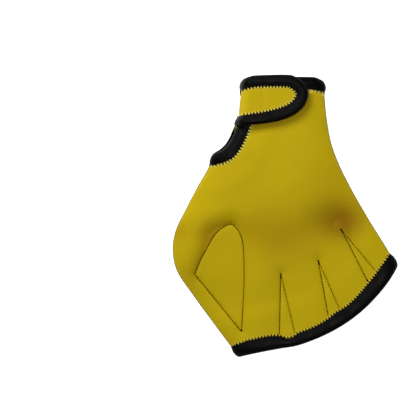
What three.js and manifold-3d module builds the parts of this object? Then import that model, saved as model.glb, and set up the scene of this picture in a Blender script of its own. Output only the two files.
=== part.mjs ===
// Webbed swim glove for the left hand, lying on its palm: two neoprene panels sewn together round the
// hand, with a wrist strap and binding tape on every free edge.
// Millimetres, +Z up. The fingers point to -Y, the thumb side is at -X, the back of the hand faces +Z.
// The origin is under the middle of the glove, on the surface that it lies on.

import * as THREE from 'three';
import { mergeVertices } from 'three/addons/utils/BufferGeometryUtils.js';
import Module from 'manifold-3d';

// Driving dimensions
const gloveWidth = 177;
const gloveLength = 221;
const handHeight = 19;
const neoprene = 2.2;
const tape = 0.8;
const clearance = 0.3;

// Widths of the binding tape that show on the panels
const fingerTapeWidth = 9.3;
const edgeTapeWidth = 8.6;
const strapTapeWidth = 8.2;

// Distances from the side seam over which each layer rounds up to its full height
const backRounding = 26;
const palmRounding = 7;
const strapRounding = 7;

// Distances over which the panels rise from a sewn web, and over which edges lift off the surface
const thumbWebRise = 15;
const fingerWebRise = 12;
const mouthBlend = 8;
const liftBlend = 15;
const liftMargin = 15;

// How high the sewn webs hang between the panels: 0 on the surface, 1 in the middle of the hand's height, 2
// level with its back
const thumbWebHang = 1.25;
const fingerWebHang = 1.75;

// Sewn seams, a shallow groove on the outer faces, and the play left between the sewn layers
const seamWidth = 1.2;
const seamDepth = 0.9;
const seamPlay = 0.2;

// Hook-and-loop patch under the strap
const fastenerLength = 18;
const fastenerWidth = 11;
const fastenerThickness = 2.6;

// Facets: columns between the thumb side, the lines of the four webs and the little-finger side, and rows
// from wrist to fingers. Then the reach of the cutting shells past the side seam, the samples of each side
// line and the height of the cutting prisms.
const columnSteps = [6, 4, 4, 4, 4];
const rowSteps = 18;
const rimPlay = 0.4;
const outlineSamples = 120;
const prismBottom = -10;
const prismTop = 60;

const tapeReach = clearance + tape;
const strapLift = clearance + fastenerThickness + clearance + neoprene;

// Rows from wrist to fingers. Columns: place of the row's left and right end and the bow of the row between
// them, as shares of the glove's width (x) and length (y, bow). The first and last row lie past the edges.
const rows = [
  { leftX: -0.190, leftY: 0.517, rightX: 0.164, rightY: 0.517, bow: 0 },
  { leftX: -0.193, leftY: 0.482, rightX: 0.165, rightY: 0.482, bow: 0 },
  { leftX: -0.203, leftY: 0.412, rightX: 0.170, rightY: 0.412, bow: 0 },
  { leftX: -0.2215, leftY: 0.324, rightX: 0.180, rightY: 0.337, bow: 0 },
  { leftX: -0.298, leftY: 0.255, rightX: 0.200, rightY: 0.256, bow: 0.005 },
  { leftX: -0.336, leftY: 0.180, rightX: 0.235, rightY: 0.181, bow: 0.011 },
  { leftX: -0.391, leftY: 0.101, rightX: 0.273, rightY: 0.119, bow: 0.020 },
  { leftX: -0.442, leftY: 0.023, rightX: 0.310, rightY: 0.064, bow: 0.032 },
  { leftX: -0.486, leftY: -0.051, rightX: 0.345, rightY: 0.016, bow: 0.043 },
  { leftX: -0.4985, leftY: -0.121, rightX: 0.376, rightY: -0.026, bow: 0.054 },
  { leftX: -0.479, leftY: -0.194, rightX: 0.405, rightY: -0.063, bow: 0.063 },
  { leftX: -0.410, leftY: -0.277, rightX: 0.434, rightY: -0.100, bow: 0.072 },
  { leftX: -0.327, leftY: -0.368, rightX: 0.461, rightY: -0.136, bow: 0.081 },
  { leftX: -0.222, leftY: -0.480, rightX: 0.491, rightY: -0.173, bow: 0.090 },
  { leftX: -0.190, leftY: -0.513, rightX: 0.515, rightY: -0.203, bow: 0.093 },
];

// Full height of the hand on the same rows, by the thumb side, in the middle and by the little-finger side,
// as shares of the hand's height
const heights = [
  { thumb: 0.73, middle: 0.73, little: 0.73 },
  { thumb: 0.73, middle: 0.73, little: 0.73 },
  { thumb: 0.75, middle: 0.76, little: 0.74 },
  { thumb: 0.80, middle: 0.83, little: 0.78 },
  { thumb: 0.85, middle: 0.93, little: 0.83 },
  { thumb: 0.85, middle: 0.98, little: 0.85 },
  { thumb: 0.83, middle: 1.00, little: 0.85 },
  { thumb: 0.83, middle: 0.98, little: 0.83 },
  { thumb: 0.83, middle: 0.93, little: 0.80 },
  { thumb: 0.83, middle: 0.88, little: 0.78 },
  { thumb: 0.78, middle: 0.83, little: 0.76 },
  { thumb: 0.60, middle: 0.79, little: 0.76 },
  { thumb: 0.62, middle: 0.79, little: 0.77 },
  { thumb: 0.66, middle: 0.80, little: 0.78 },
  { thumb: 0.66, middle: 0.80, little: 0.78 },
];

// The lines that the webs follow, which the facets follow too. Columns: how far along from wrist to fingers,
// then where the line of each web crosses, as shares of the row from the thumb side.
const webLines = [
  { at: 0.00, thumb: 0.320, index: 0.500, middle: 0.680, ring: 0.840 },
  { at: 0.50, thumb: 0.325, index: 0.505, middle: 0.690, ring: 0.840 },
  { at: 0.60, thumb: 0.350, index: 0.510, middle: 0.700, ring: 0.850 },
  { at: 0.71, thumb: 0.330, index: 0.500, middle: 0.690, ring: 0.850 },
  { at: 0.79, thumb: 0.245, index: 0.430, middle: 0.655, ring: 0.855 },
  { at: 0.87, thumb: 0.150, index: 0.345, middle: 0.605, ring: 0.860 },
  { at: 1.00, thumb: 0.050, index: 0.260, middle: 0.550, ring: 0.860 },
];

// Edges and seams in plan. Columns: x as a share of the glove's width, y as a share of its length. Tables of
// edges start and end past the side seams.
const wristTable = [
  { x: -0.250, y: 0.452 },
  { x: -0.210, y: 0.466 },
  { x: -0.180, y: 0.478 },
  { x: -0.150, y: 0.486 },
  { x: -0.106, y: 0.488 },
  { x: 0.105, y: 0.488 },
  { x: 0.130, y: 0.486 },
  { x: 0.155, y: 0.478 },
  { x: 0.180, y: 0.468 },
  { x: 0.250, y: 0.452 },
];

const fingerMouthTable = [
  { x: -0.238, y: -0.509 },
  { x: -0.199, y: -0.491 },
  { x: -0.100, y: -0.472 },
  { x: -0.019, y: -0.460 },
  { x: 0.046, y: -0.451 },
  { x: 0.132, y: -0.426 },
  { x: 0.213, y: -0.395 },
  { x: 0.288, y: -0.356 },
  { x: 0.362, y: -0.305 },
  { x: 0.434, y: -0.240 },
  { x: 0.492, y: -0.169 },
  { x: 0.524, y: -0.120 },
];

// From the notch at the thumb side to the wrist, the edge that the strap covers
const backFreeEdgeTable = [
  { x: -0.388, y: 0.215 },
  { x: -0.345, y: 0.219 },
  { x: -0.315, y: 0.222 },
  { x: -0.287, y: 0.227 },
  { x: -0.263, y: 0.240 },
  { x: -0.246, y: 0.256 },
  { x: -0.233, y: 0.273 },
  { x: -0.222, y: 0.291 },
  { x: -0.208, y: 0.307 },
  { x: -0.188, y: 0.321 },
  { x: -0.174, y: 0.348 },
  { x: -0.167, y: 0.388 },
  { x: -0.162, y: 0.430 },
];
const backFreeCorner = { x: -0.159, y: 0.483 };

// Palm side of the notch, from its foot to the strap
const palmNotchTable = [
  { x: -0.388, y: 0.213 },
  { x: -0.340, y: 0.215 },
  { x: -0.313, y: 0.222 },
  { x: -0.285, y: 0.236 },
  { x: -0.263, y: 0.253 },
  { x: -0.247, y: 0.273 },
  { x: -0.232, y: 0.300 },
  { x: -0.223, y: 0.330 },
  { x: -0.225, y: 0.365 },
];

const strapEdgeTable = [
  { x: -0.255, y: 0.456 },
  { x: -0.222, y: 0.468 },
  { x: -0.193, y: 0.479 },
  { x: -0.160, y: 0.488 },
  { x: -0.125, y: 0.492 },
  { x: 0.000, y: 0.494 },
  { x: 0.039, y: 0.486 },
  { x: 0.075, y: 0.462 },
  { x: 0.090, y: 0.430 },
  { x: 0.076, y: 0.396 },
  { x: 0.046, y: 0.370 },
  { x: 0.006, y: 0.352 },
  { x: -0.045, y: 0.339 },
  { x: -0.105, y: 0.331 },
  { x: -0.168, y: 0.326 },
  { x: -0.247, y: 0.323 },
];

// The curved seam of the thumb web, from its lower corner over its round end to its outer corner. A straight
// seam joins the two corners.
const thumbWebTable = [
  { x: -0.197, y: -0.407 },
  { x: -0.187, y: -0.274 },
  { x: -0.185, y: -0.180 },
  { x: -0.190, y: -0.098 },
  { x: -0.208, y: -0.054 },
  { x: -0.240, y: -0.028 },
  { x: -0.283, y: -0.041 },
  { x: -0.319, y: -0.070 },
  { x: -0.350, y: -0.114 },
  { x: -0.378, y: -0.155 },
  { x: -0.403, y: -0.205 },
];

// Sewn webs between the fingers, from index to little finger: tip and the two feet at the binding
const fingerWebs = [
  { tipX: -0.024, tipY: -0.202, footX: -0.030, footY: -0.419, otherX: 0.039, otherY: -0.416 },
  { tipX: 0.141, tipY: -0.155, footX: 0.185, footY: -0.350, otherX: 0.234, otherY: -0.325 },
  { tipX: 0.240, tipY: -0.044, footX: 0.358, footY: -0.227, otherX: 0.392, otherY: -0.192 },
];
const webPastFoot = 0.35;

// Dents in the back: place as above, radius as a share of the width, depth as a share of the hand's height
const dents = [
  { x: 0.229, y: 0.012, radius: 0.105, depth: 0.22 },
  { x: -0.330, y: -0.060, radius: 0.060, depth: 0.10 },
];

const fastenerCentre = { x: -0.045, y: 0.42 };

// Materials
const yellowNeoprene = new THREE.MeshStandardMaterial({ color: 0xbfa50f, roughness: 0.85, metalness: 0 });
const blackTape = new THREE.MeshStandardMaterial({ color: 0x141415, roughness: 0.8, metalness: 0 });
const blackHook = new THREE.MeshStandardMaterial({ color: 0x1c1c1e, roughness: 0.95, metalness: 0 });

// Layers: which way they bulge from the side seam, how soon they are at full height, and how far they lie
// above the hand's own height
const backLayer = { sign: 1, rounding: backRounding, lift: 0, dented: true };
const palmLayer = { sign: -1, rounding: palmRounding, lift: 0, dented: false };
const strapLayer = { sign: 1, rounding: strapRounding, lift: strapLift, dented: false };

const wasm = await Module();
wasm.setup();

// Plan helpers

function planVector(share) {
  return new THREE.Vector2(share.x * gloveWidth, share.y * gloveLength);
}

function smoothPath(table) {
  const curve = new THREE.SplineCurve(table.map(planVector));
  return curve.getPoints(table.length - 1);
}

function ease(share) {
  const t = THREE.MathUtils.clamp(share, 0, 1);
  return t * t * (3 - 2 * t);
}

function distanceToSegment(point, start, end) {
  const along = end.clone().sub(start);
  const share = point.clone().sub(start).dot(along) / along.lengthSq();
  const nearest = start.clone().addScaledVector(along, THREE.MathUtils.clamp(share, 0, 1));
  return nearest.distanceTo(point);
}

function distanceToPath(point, path) {
  let nearest = Infinity;
  for (let i = 1; i < path.length; i += 1) {
    nearest = Math.min(nearest, distanceToSegment(point, path[i - 1], path[i]));
  }
  return nearest;
}

function isInside(point, outline) {
  let inside = false;
  outline.forEach((corner, i) => {
    const previous = outline[(i + outline.length - 1) % outline.length];
    const straddles = (corner.y > point.y) !== (previous.y > point.y);
    const slope = (previous.x - corner.x) / (previous.y - corner.y);
    if (straddles && point.x < corner.x + slope * (point.y - corner.y)) {
      inside = !inside;
    }
  });
  return inside;
}

// Moves a path sideways, to its left as it is walked, with square corners kept
function offsetPath(path, distance) {
  return path.map((point, i) => {
    const before = path[Math.max(i - 1, 0)];
    const after = path[Math.min(i + 1, path.length - 1)];
    const arriving = point.clone().sub(i > 0 ? before : point);
    const leaving = after.clone().sub(i < path.length - 1 ? point : after);
    const first = arriving.lengthSq() > 0 ? arriving.normalize() : leaving.clone().normalize();
    const second = leaving.lengthSq() > 0 ? leaving.normalize() : first.clone();
    const normal = new THREE.Vector2(-first.y - second.y, first.x + second.x).normalize();
    const spread = normal.dot(new THREE.Vector2(-first.y, first.x));
    return point.clone().addScaledVector(normal, distance / spread);
  });
}

// Paths in plan, worked out once
const fingerMouth = smoothPath(fingerMouthTable);
const wristEdge = smoothPath(wristTable);
const backCorner = planVector(backFreeCorner);
const backWrist = wristEdge.filter((point) => point.x > backCorner.x + edgeTapeWidth);
const backEdge = [...smoothPath(backFreeEdgeTable), backCorner, ...backWrist];
const palmNotch = smoothPath(palmNotchTable);
const strapEdge = smoothPath(strapEdgeTable);
const thumbWeb = thumbWebTable.map(planVector);

function fingerWebOutline(web) {
  const tip = planVector({ x: web.tipX, y: web.tipY });
  const foot = planVector({ x: web.footX, y: web.footY });
  const other = planVector({ x: web.otherX, y: web.otherY });
  return [tip, foot.lerp(tip, -webPastFoot), other.lerp(tip, -webPastFoot)];
}

const webs = [
  { outline: thumbWeb, rise: thumbWebRise, hang: thumbWebHang },
  ...fingerWebs.map((web) => ({ outline: fingerWebOutline(web), rise: fingerWebRise, hang: fingerWebHang })),
];

// The hand's form as a patch: u runs from the thumb side to the little-finger side, v from wrist to fingers

function sideCurve(xColumn, yColumn) {
  return new THREE.SplineCurve(rows.map((row) => planVector({ x: row[xColumn], y: row[yColumn] })));
}

const leftSide = sideCurve('leftX', 'leftY');
const rightSide = sideCurve('rightX', 'rightY');

function columnCurve(table, name) {
  return new THREE.SplineCurve(table.map((row, i) => new THREE.Vector2(i, row[name])));
}

const bowCurve = columnCurve(rows, 'bow');
const heightCurves = ['thumb', 'middle', 'little'].map((name) => columnCurve(heights, name));

function sidePoint(curve, v, outward, grow) {
  const tangent = curve.getTangent(v);
  const normal = new THREE.Vector2(outward * tangent.y, -outward * tangent.x);
  return curve.getPoint(v).addScaledVector(normal, grow);
}

function planPoint(u, v, grow) {
  const left = sidePoint(leftSide, v, 1, grow);
  const chord = sidePoint(rightSide, v, -1, grow).sub(left);
  const towardsFingers = new THREE.Vector2(chord.y, -chord.x).normalize();
  const bow = bowCurve.getPoint(v).y * gloveLength * 4 * u * (1 - u);
  return left.addScaledVector(chord, u).addScaledVector(towardsFingers, bow);
}

// Each column of facets lies a share of the way between two web lines, closer together by the side seams
const columns = [];
columnSteps.forEach((steps, group) => {
  for (let i = 0; i < steps; i += 1) {
    const turn = (i / steps) * Math.PI / 2;
    const share = group === 0 ? 1 - Math.cos(turn) : i / steps;
    columns.push({ group, share: group === columnSteps.length - 1 ? Math.sin(turn) : share });
  }
});
columns.push({ group: columnSteps.length - 1, share: 1 });

function columnShare(column, v) {
  const next = Math.max(webLines.findIndex((line) => line.at >= v), 1);
  const [from, to] = [webLines[next - 1], webLines[next]];
  const along = (v - from.at) / (to.at - from.at);
  const crossing = (web) => from[web] + (to[web] - from[web]) * along;
  const crossings = ['thumb', 'index', 'middle', 'ring'].map(crossing);
  const borders = [0, ...crossings, 1];
  return THREE.MathUtils.lerp(borders[column.group], borders[column.group + 1], column.share);
}

const outlines = new Map();

function sideOutlines(grow) {
  if (!outlines.has(grow)) {
    const paths = [[leftSide, 1], [rightSide, -1]].map(([curve, outward]) => {
      const path = [];
      for (let i = 0; i <= outlineSamples; i += 1) {
        path.push(sidePoint(curve, i / outlineSamples, outward, grow));
      }
      return path;
    });
    outlines.set(grow, paths);
  }
  return outlines.get(grow);
}

// Share of full height at a distance from the side seam, a quarter ellipse
function rounding(distance, reach) {
  const rest = 1 - Math.min(distance / reach, 1);
  return Math.sqrt(1 - rest * rest);
}

// Heights of the whole hand, palm to back, in the middle of its rounded sides: without its webs, and with
// them. Then how high the webs near a point hang.
function handShape(point, u, v) {
  const [thumb, middle, little] = heightCurves.map((curve) => curve.getPoint(v).y * handHeight);
  const dome = thumb * (2 * u - 1) * (u - 1) + middle * 4 * u * (1 - u) + little * u * (2 * u - 1);
  const fromMouth = distanceToPath(point, fingerMouth) - fingerTapeWidth;
  const taped = 2 * tapeReach * (1 - ease(fromMouth / mouthBlend));
  const sewn = 2 * neoprene + clearance + seamPlay + taped;
  let rise = 1;
  let nearness = 0;
  let hang = 0;
  for (const web of webs) {
    const seam = [...web.outline, web.outline[0]];
    const distance = isInside(point, web.outline) ? 0 : distanceToPath(point, seam);
    const share = Math.sin(Math.min(distance / web.rise, 1) * Math.PI / 2);
    rise *= share;
    nearness += 1 - share;
    hang += (1 - share) * web.hang;
  }
  const domed = Math.max(dome, sewn);
  const height = sewn + (domed - sewn) * rise;
  return { domed, height, hang: nearness > 0 ? hang / nearness : 0 };
}

// The taped edges of the palm lie on the surface with their tape, so the palm lifts by the tape there
function floorLift(point) {
  const fromMouth = distanceToPath(point, fingerMouth) - fingerTapeWidth;
  const fromWrist = distanceToPath(point, wristEdge) - edgeTapeWidth;
  const fromNotch = distanceToPath(point, palmNotch) - edgeTapeWidth;
  const fromTape = Math.min(fromMouth, fromWrist, fromNotch) - liftMargin;
  return tapeReach * (1 - ease(fromTape / liftBlend));
}

function dentDepth(point) {
  let depth = 0;
  for (const dent of dents) {
    const share = point.distanceTo(planVector(dent)) / (dent.radius * gloveWidth);
    depth += dent.depth * handHeight * Math.exp(-share * share);
  }
  return depth;
}

// A point of a layer's outer face, grown outwards. The inner face is the one grown by minus the wall.
function layerPoint(layer, grow, u, v) {
  const plan = planPoint(u, v, grow);
  const onSeam = u === 0 || u === 1;
  const fromSide = onSeam ? 0 : Math.min(...sideOutlines(grow).map((path) => distanceToPath(plan, path)));
  const { domed, height, hang } = handShape(plan, u, v);
  const dent = layer.dented ? Math.min(dentDepth(plan), height / 2 - neoprene - clearance) : 0;
  const half = Math.max((height - clearance) / 2 + layer.lift + grow - Math.max(dent, 0), 0);
  const fromMiddle = clearance / 2 + half * rounding(fromSide, layer.rounding);
  const middle = floorLift(plan) + (height + hang * (domed - height)) / 2;
  return [plan.x, plan.y, middle + layer.sign * fromMiddle];
}

const sheets = new Map();

function sheet(layer, grow) {
  const key = `${layer.sign} ${layer.lift} ${grow}`;
  if (!sheets.has(key)) {
    const points = [];
    for (let j = 0; j <= rowSteps; j += 1) {
      for (const column of columns) {
        points.push(layerPoint(layer, grow, columnShare(column, j / rowSteps), j / rowSteps));
      }
    }
    sheets.set(key, points);
  }
  return sheets.get(key);
}

// Solids

function solidFromMesh(vertices, triangles) {
  const vertProperties = new Float32Array(vertices.flat());
  const triVerts = new Uint32Array(triangles.flat());
  return new wasm.Manifold(new wasm.Mesh({ numProp: 3, vertProperties, triVerts }));
}

// The closed solid between an upper and a lower sheet
function between(upper, lower) {
  const wide = upper.length / (rowSteps + 1);
  const count = upper.length;
  const triangles = [];
  const quad = (a, b, c, d) => triangles.push([a, b, c], [a, c, d]);
  for (let j = 0; j < rowSteps; j += 1) {
    for (let i = 0; i < wide - 1; i += 1) {
      const corner = j * wide + i;
      quad(corner, corner + wide, corner + wide + 1, corner + 1);
      quad(count + corner, count + corner + 1, count + corner + wide + 1, count + corner + wide);
    }
    const left = j * wide;
    const right = left + wide - 1;
    quad(left, count + left, count + left + wide, left + wide);
    quad(right, right + wide, count + right + wide, count + right);
  }
  const last = rowSteps * wide;
  for (let i = 0; i < wide - 1; i += 1) {
    quad(i, i + 1, count + i + 1, count + i);
    quad(last + i, count + last + i, count + last + i + 1, last + i + 1);
  }
  return solidFromMesh([...upper, ...lower], triangles);
}

function shell(layer, outside, inside) {
  const outer = sheet(layer, outside);
  const inner = sheet(layer, inside);
  return layer.sign > 0 ? between(outer, inner) : between(inner, outer);
}

// A sheet with a skirt: its two side edges go on past the side seam, straight across the seam's gap
function skirtedSheet(layer, grow) {
  const points = sheet(layer, grow);
  const wide = columns.length;
  const skirted = [];
  for (let j = 0; j <= rowSteps; j += 1) {
    const row = points.slice(j * wide, (j + 1) * wide);
    const [first, last] = [row[0], row.at(-1)].map(([x, y, z]) => [x, y, z - layer.sign * rimPlay]);
    skirted.push(first, ...row, last);
  }
  return skirted;
}

// A wall grown on both sides, which also clears the edge along the side seam
function cuttingShell(layer, grow) {
  const outer = skirtedSheet(layer, grow);
  const inner = skirtedSheet(layer, -neoprene - grow);
  return layer.sign > 0 ? between(outer, inner) : between(inner, outer);
}

function prism(outline) {
  const shape = new THREE.Shape(outline);
  const extruded = new THREE.ExtrudeGeometry(shape, { depth: prismTop - prismBottom, bevelEnabled: false });
  extruded.translate(0, 0, prismBottom);
  extruded.deleteAttribute('normal');
  extruded.deleteAttribute('uv');
  const merged = mergeVertices(extruded);
  const vertProperties = new Float32Array(merged.attributes.position.array);
  const triVerts = new Uint32Array(merged.index.array);
  return new wasm.Manifold(new wasm.Mesh({ numProp: 3, vertProperties, triVerts }));
}

// The strip of plan between two offsets of a path
function bandPrism(path, leftward, rightward) {
  return prism([...offsetPath(path, leftward), ...offsetPath(path, -rightward).reverse()]);
}

// Tape folded round a free edge of a wall. The panel lies on the right of the path as it is walked.
function foldedTape(wall, grownWall, path, width) {
  const outside = wall.intersect(bandPrism(path, tapeReach, width));
  return outside.subtract(grownWall.intersect(bandPrism(path, clearance, width + clearance)));
}

function layerTape(layer, path, width) {
  const wall = shell(layer, tapeReach, -neoprene - tapeReach);
  return foldedTape(wall, cuttingShell(layer, clearance), path, width);
}

// Grooves where the panels are sewn together round the webs
function seamPrisms() {
  const lines = [thumbWeb, [thumbWeb.at(-1), thumbWeb[0]]];
  for (const web of fingerWebs) {
    const tip = planVector({ x: web.tipX, y: web.tipY });
    lines.push([tip, planVector({ x: web.footX, y: web.footY })]);
    lines.push([tip, planVector({ x: web.otherX, y: web.otherY })]);
  }
  const bands = lines.map((line) => bandPrism(line, seamWidth / 2, seamWidth / 2));
  return bands.reduce((all, one) => all.add(one));
}

const seams = seamPrisms();

function grooves(layer) {
  return shell(layer, seamWidth, -seamDepth).intersect(seams);
}

function wholeOutline(leftEdge) {
  const wristEnd = wristEdge.at(-1).clone().setX(gloveWidth);
  const mouthEnd = fingerMouth.at(-1).clone().setX(gloveWidth);
  const mouthStart = fingerMouth[0].clone().setX(-gloveWidth);
  return [...leftEdge, wristEnd, mouthEnd, ...[...fingerMouth].reverse(), mouthStart];
}

// Pieces

function backPanel() {
  const notchStart = backEdge[0].clone().setX(-gloveWidth);
  const outline = wholeOutline([notchStart, ...backEdge]);
  return shell(backLayer, 0, -neoprene).intersect(prism(outline)).subtract(grooves(backLayer));
}

function palmPanel() {
  const notchStart = palmNotch[0].clone().setX(-gloveWidth);
  const notchEnd = palmNotch.at(-1).clone().setX(-gloveWidth);
  const wristStart = wristEdge[0].clone().setX(-gloveWidth);
  const outline = wholeOutline([notchStart, ...palmNotch, notchEnd, wristStart, ...wristEdge]);
  return shell(palmLayer, 0, -neoprene).intersect(prism(outline)).subtract(grooves(palmLayer));
}

function wristStrap() {
  return shell(strapLayer, 0, -neoprene).intersect(prism(strapEdge));
}

function strapFastener() {
  const centre = planVector(fastenerCentre);
  const left = centre.x - fastenerLength / 2;
  const right = centre.x + fastenerLength / 2;
  const top = centre.y + fastenerWidth / 2;
  const bottom = centre.y - fastenerWidth / 2;
  const corners = [[left, bottom], [right, bottom], [right, top], [left, top]];
  const outline = corners.map(([x, y]) => new THREE.Vector2(x, y));
  const filling = between(sheet(strapLayer, -neoprene - clearance), sheet(backLayer, clearance));
  return filling.intersect(prism(outline));
}

// The whole hand as one closed tube wall, back and palm together
function handTube(outside, inside) {
  const outer = between(sheet(backLayer, outside), sheet(palmLayer, outside));
  const hollow = between(sheet(backLayer, inside), sheet(palmLayer, inside));
  return outer.subtract(hollow);
}

function fingerBinding() {
  const wall = handTube(tapeReach, -neoprene - tapeReach);
  const grownWall = handTube(clearance, -neoprene - clearance);
  return foldedTape(wall, grownWall, [...fingerMouth].reverse(), fingerTapeWidth);
}

function backBinding() {
  return layerTape(backLayer, backEdge, edgeTapeWidth);
}

function palmWristBinding() {
  return layerTape(palmLayer, wristEdge, edgeTapeWidth);
}

function palmNotchBinding() {
  return layerTape(palmLayer, palmNotch, edgeTapeWidth);
}

function strapBinding() {
  return layerTape(strapLayer, strapEdge, strapTapeWidth);
}

function piece(name, solid, material) {
  const { vertProperties, triVerts } = solid.getMesh();
  const geometry = new THREE.BufferGeometry();
  geometry.setAttribute('position', new THREE.BufferAttribute(vertProperties, 3));
  geometry.setIndex(new THREE.BufferAttribute(triVerts, 1));
  geometry.computeVertexNormals();
  const mesh = new THREE.Mesh(geometry, material);
  mesh.name = name;
  return mesh;
}

const glove = new THREE.Group();
glove.add(piece('back_panel', backPanel(), yellowNeoprene));
glove.add(piece('palm_panel', palmPanel(), yellowNeoprene));
glove.add(piece('wrist_strap', wristStrap(), yellowNeoprene));
glove.add(piece('strap_fastener', strapFastener(), blackHook));
glove.add(piece('finger_binding', fingerBinding(), blackTape));
glove.add(piece('back_binding', backBinding(), blackTape));
glove.add(piece('palm_wrist_binding', palmWristBinding(), blackTape));
glove.add(piece('palm_notch_binding', palmNotchBinding(), blackTape));
glove.add(piece('strap_binding', strapBinding(), blackTape));

export default glove;
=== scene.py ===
"""Looks of a webbed swim glove for the left hand, lying on its palm.

The glove is two neoprene panels sewn together round the hand, a wrist strap, and binding tape on every free
edge. Each cloth piece is worked out from the same sizes and tables as its solid, at a fine grain, with its
seams, stitches and puckers. Lengths are in millimetres until a mesh is made.
"""

import math

import bpy
import numpy as np
from mathutils.geometry import delaunay_2d_cdt
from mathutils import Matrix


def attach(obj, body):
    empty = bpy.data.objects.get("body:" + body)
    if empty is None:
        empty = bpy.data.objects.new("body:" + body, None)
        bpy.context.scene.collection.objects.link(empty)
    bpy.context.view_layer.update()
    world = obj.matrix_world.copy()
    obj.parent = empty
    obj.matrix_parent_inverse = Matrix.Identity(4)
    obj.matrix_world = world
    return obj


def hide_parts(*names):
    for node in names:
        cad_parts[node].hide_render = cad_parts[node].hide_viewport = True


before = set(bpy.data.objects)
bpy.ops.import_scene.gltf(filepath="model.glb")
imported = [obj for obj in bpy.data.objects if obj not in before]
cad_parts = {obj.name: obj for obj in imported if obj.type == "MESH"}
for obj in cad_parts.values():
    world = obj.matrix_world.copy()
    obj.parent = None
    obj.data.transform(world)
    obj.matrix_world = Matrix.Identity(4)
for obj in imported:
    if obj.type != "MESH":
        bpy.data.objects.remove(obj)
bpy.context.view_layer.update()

MM = 0.001

# Least height over the surface that the glove lies on
LOWEST = 0.02

# Driving dimensions, the same as the solids have
GLOVE_WIDTH = 177.0
GLOVE_LENGTH = 221.0
HAND_HEIGHT = 19.0
NEOPRENE = 2.2
TAPE = 0.8
CLEARANCE = 0.3
FINGER_TAPE_WIDTH = 9.3
EDGE_TAPE_WIDTH = 8.6
STRAP_TAPE_WIDTH = 8.2
BACK_ROUNDING = 26.0
PALM_ROUNDING = 7.0
STRAP_ROUNDING = 7.0
THUMB_WEB_RISE = 15.0
FINGER_WEB_RISE = 12.0
THUMB_WEB_HANG = 1.25
FINGER_WEB_HANG = 1.75
MOUTH_BLEND = 8.0
LIFT_BLEND = 15.0
LIFT_MARGIN = 15.0
SEAM_PLAY = 0.2
FASTENER_LENGTH = 18.0
FASTENER_WIDTH = 11.0
FASTENER_THICKNESS = 2.6
TAPE_REACH = CLEARANCE + TAPE
STRAP_LIFT = CLEARANCE + FASTENER_THICKNESS + CLEARANCE + NEOPRENE

# Rows from wrist to fingers: place of the row's left and right end and its bow, as shares of width and length
ROWS = (
    # left x, left y, right x, right y, bow
    (-0.190, 0.517, 0.164, 0.517, 0.000),
    (-0.193, 0.482, 0.165, 0.482, 0.000),
    (-0.203, 0.412, 0.170, 0.412, 0.000),
    (-0.2215, 0.324, 0.180, 0.337, 0.000),
    (-0.298, 0.255, 0.200, 0.256, 0.005),
    (-0.336, 0.180, 0.235, 0.181, 0.011),
    (-0.391, 0.101, 0.273, 0.119, 0.020),
    (-0.442, 0.023, 0.310, 0.064, 0.032),
    (-0.486, -0.051, 0.345, 0.016, 0.043),
    (-0.4985, -0.121, 0.376, -0.026, 0.054),
    (-0.479, -0.194, 0.405, -0.063, 0.063),
    (-0.410, -0.277, 0.434, -0.100, 0.072),
    (-0.327, -0.368, 0.461, -0.136, 0.081),
    (-0.222, -0.480, 0.491, -0.173, 0.090),
    (-0.190, -0.513, 0.515, -0.203, 0.093),
)

# Height of the hand on the same rows, as shares of HAND_HEIGHT
HEIGHTS = (
    # thumb side, middle, little-finger side
    (0.73, 0.73, 0.73),
    (0.73, 0.73, 0.73),
    (0.75, 0.76, 0.74),
    (0.80, 0.83, 0.78),
    (0.85, 0.93, 0.83),
    (0.85, 0.98, 0.85),
    (0.83, 1.00, 0.85),
    (0.83, 0.98, 0.83),
    (0.83, 0.93, 0.80),
    (0.83, 0.88, 0.78),
    (0.78, 0.83, 0.76),
    (0.60, 0.79, 0.76),
    (0.62, 0.79, 0.77),
    (0.66, 0.80, 0.78),
    (0.66, 0.80, 0.78),
)

# Edges and seams in plan, x as a share of the width and y as a share of the length
WRIST_EDGE = (
    (-0.250, 0.452), (-0.210, 0.466), (-0.180, 0.478), (-0.150, 0.486), (-0.106, 0.488),
    (0.105, 0.488), (0.130, 0.486), (0.155, 0.478), (0.180, 0.468), (0.210, 0.460), (0.250, 0.452),
)
FINGER_MOUTH = (
    (-0.238, -0.509), (-0.199, -0.491), (-0.100, -0.472), (-0.019, -0.460),
    (0.046, -0.451), (0.132, -0.426), (0.213, -0.395), (0.288, -0.356),
    (0.362, -0.305), (0.434, -0.240), (0.492, -0.169), (0.524, -0.120),
)
BACK_FREE_EDGE = (
    (-0.388, 0.215), (-0.345, 0.219), (-0.315, 0.222), (-0.287, 0.227), (-0.264, 0.240),
    (-0.247, 0.256), (-0.234, 0.274), (-0.224, 0.292), (-0.215, 0.309), (-0.208, 0.326),
    (-0.198, 0.348), (-0.180, 0.388), (-0.165, 0.430),
)
BACK_FREE_CORNER = (-0.159, 0.483)
PALM_NOTCH = (
    (-0.388, 0.213), (-0.340, 0.215), (-0.313, 0.222), (-0.285, 0.236), (-0.263, 0.253),
    (-0.247, 0.273), (-0.232, 0.300), (-0.223, 0.330), (-0.225, 0.365),
)
STRAP_EDGE = (
    (-0.255, 0.456), (-0.222, 0.468), (-0.193, 0.479), (-0.160, 0.488), (-0.125, 0.492),
    (0.000, 0.494), (0.039, 0.486), (0.075, 0.462), (0.090, 0.430), (0.076, 0.396),
    (0.046, 0.370), (0.006, 0.352), (-0.045, 0.339), (-0.105, 0.331), (-0.168, 0.326),
    (-0.247, 0.323),
)
THUMB_WEB = (
    (-0.197, -0.407), (-0.187, -0.274), (-0.185, -0.180), (-0.190, -0.098), (-0.208, -0.054),
    (-0.240, -0.028), (-0.283, -0.041), (-0.319, -0.070), (-0.350, -0.114), (-0.378, -0.155),
    (-0.403, -0.205),
)
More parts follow.
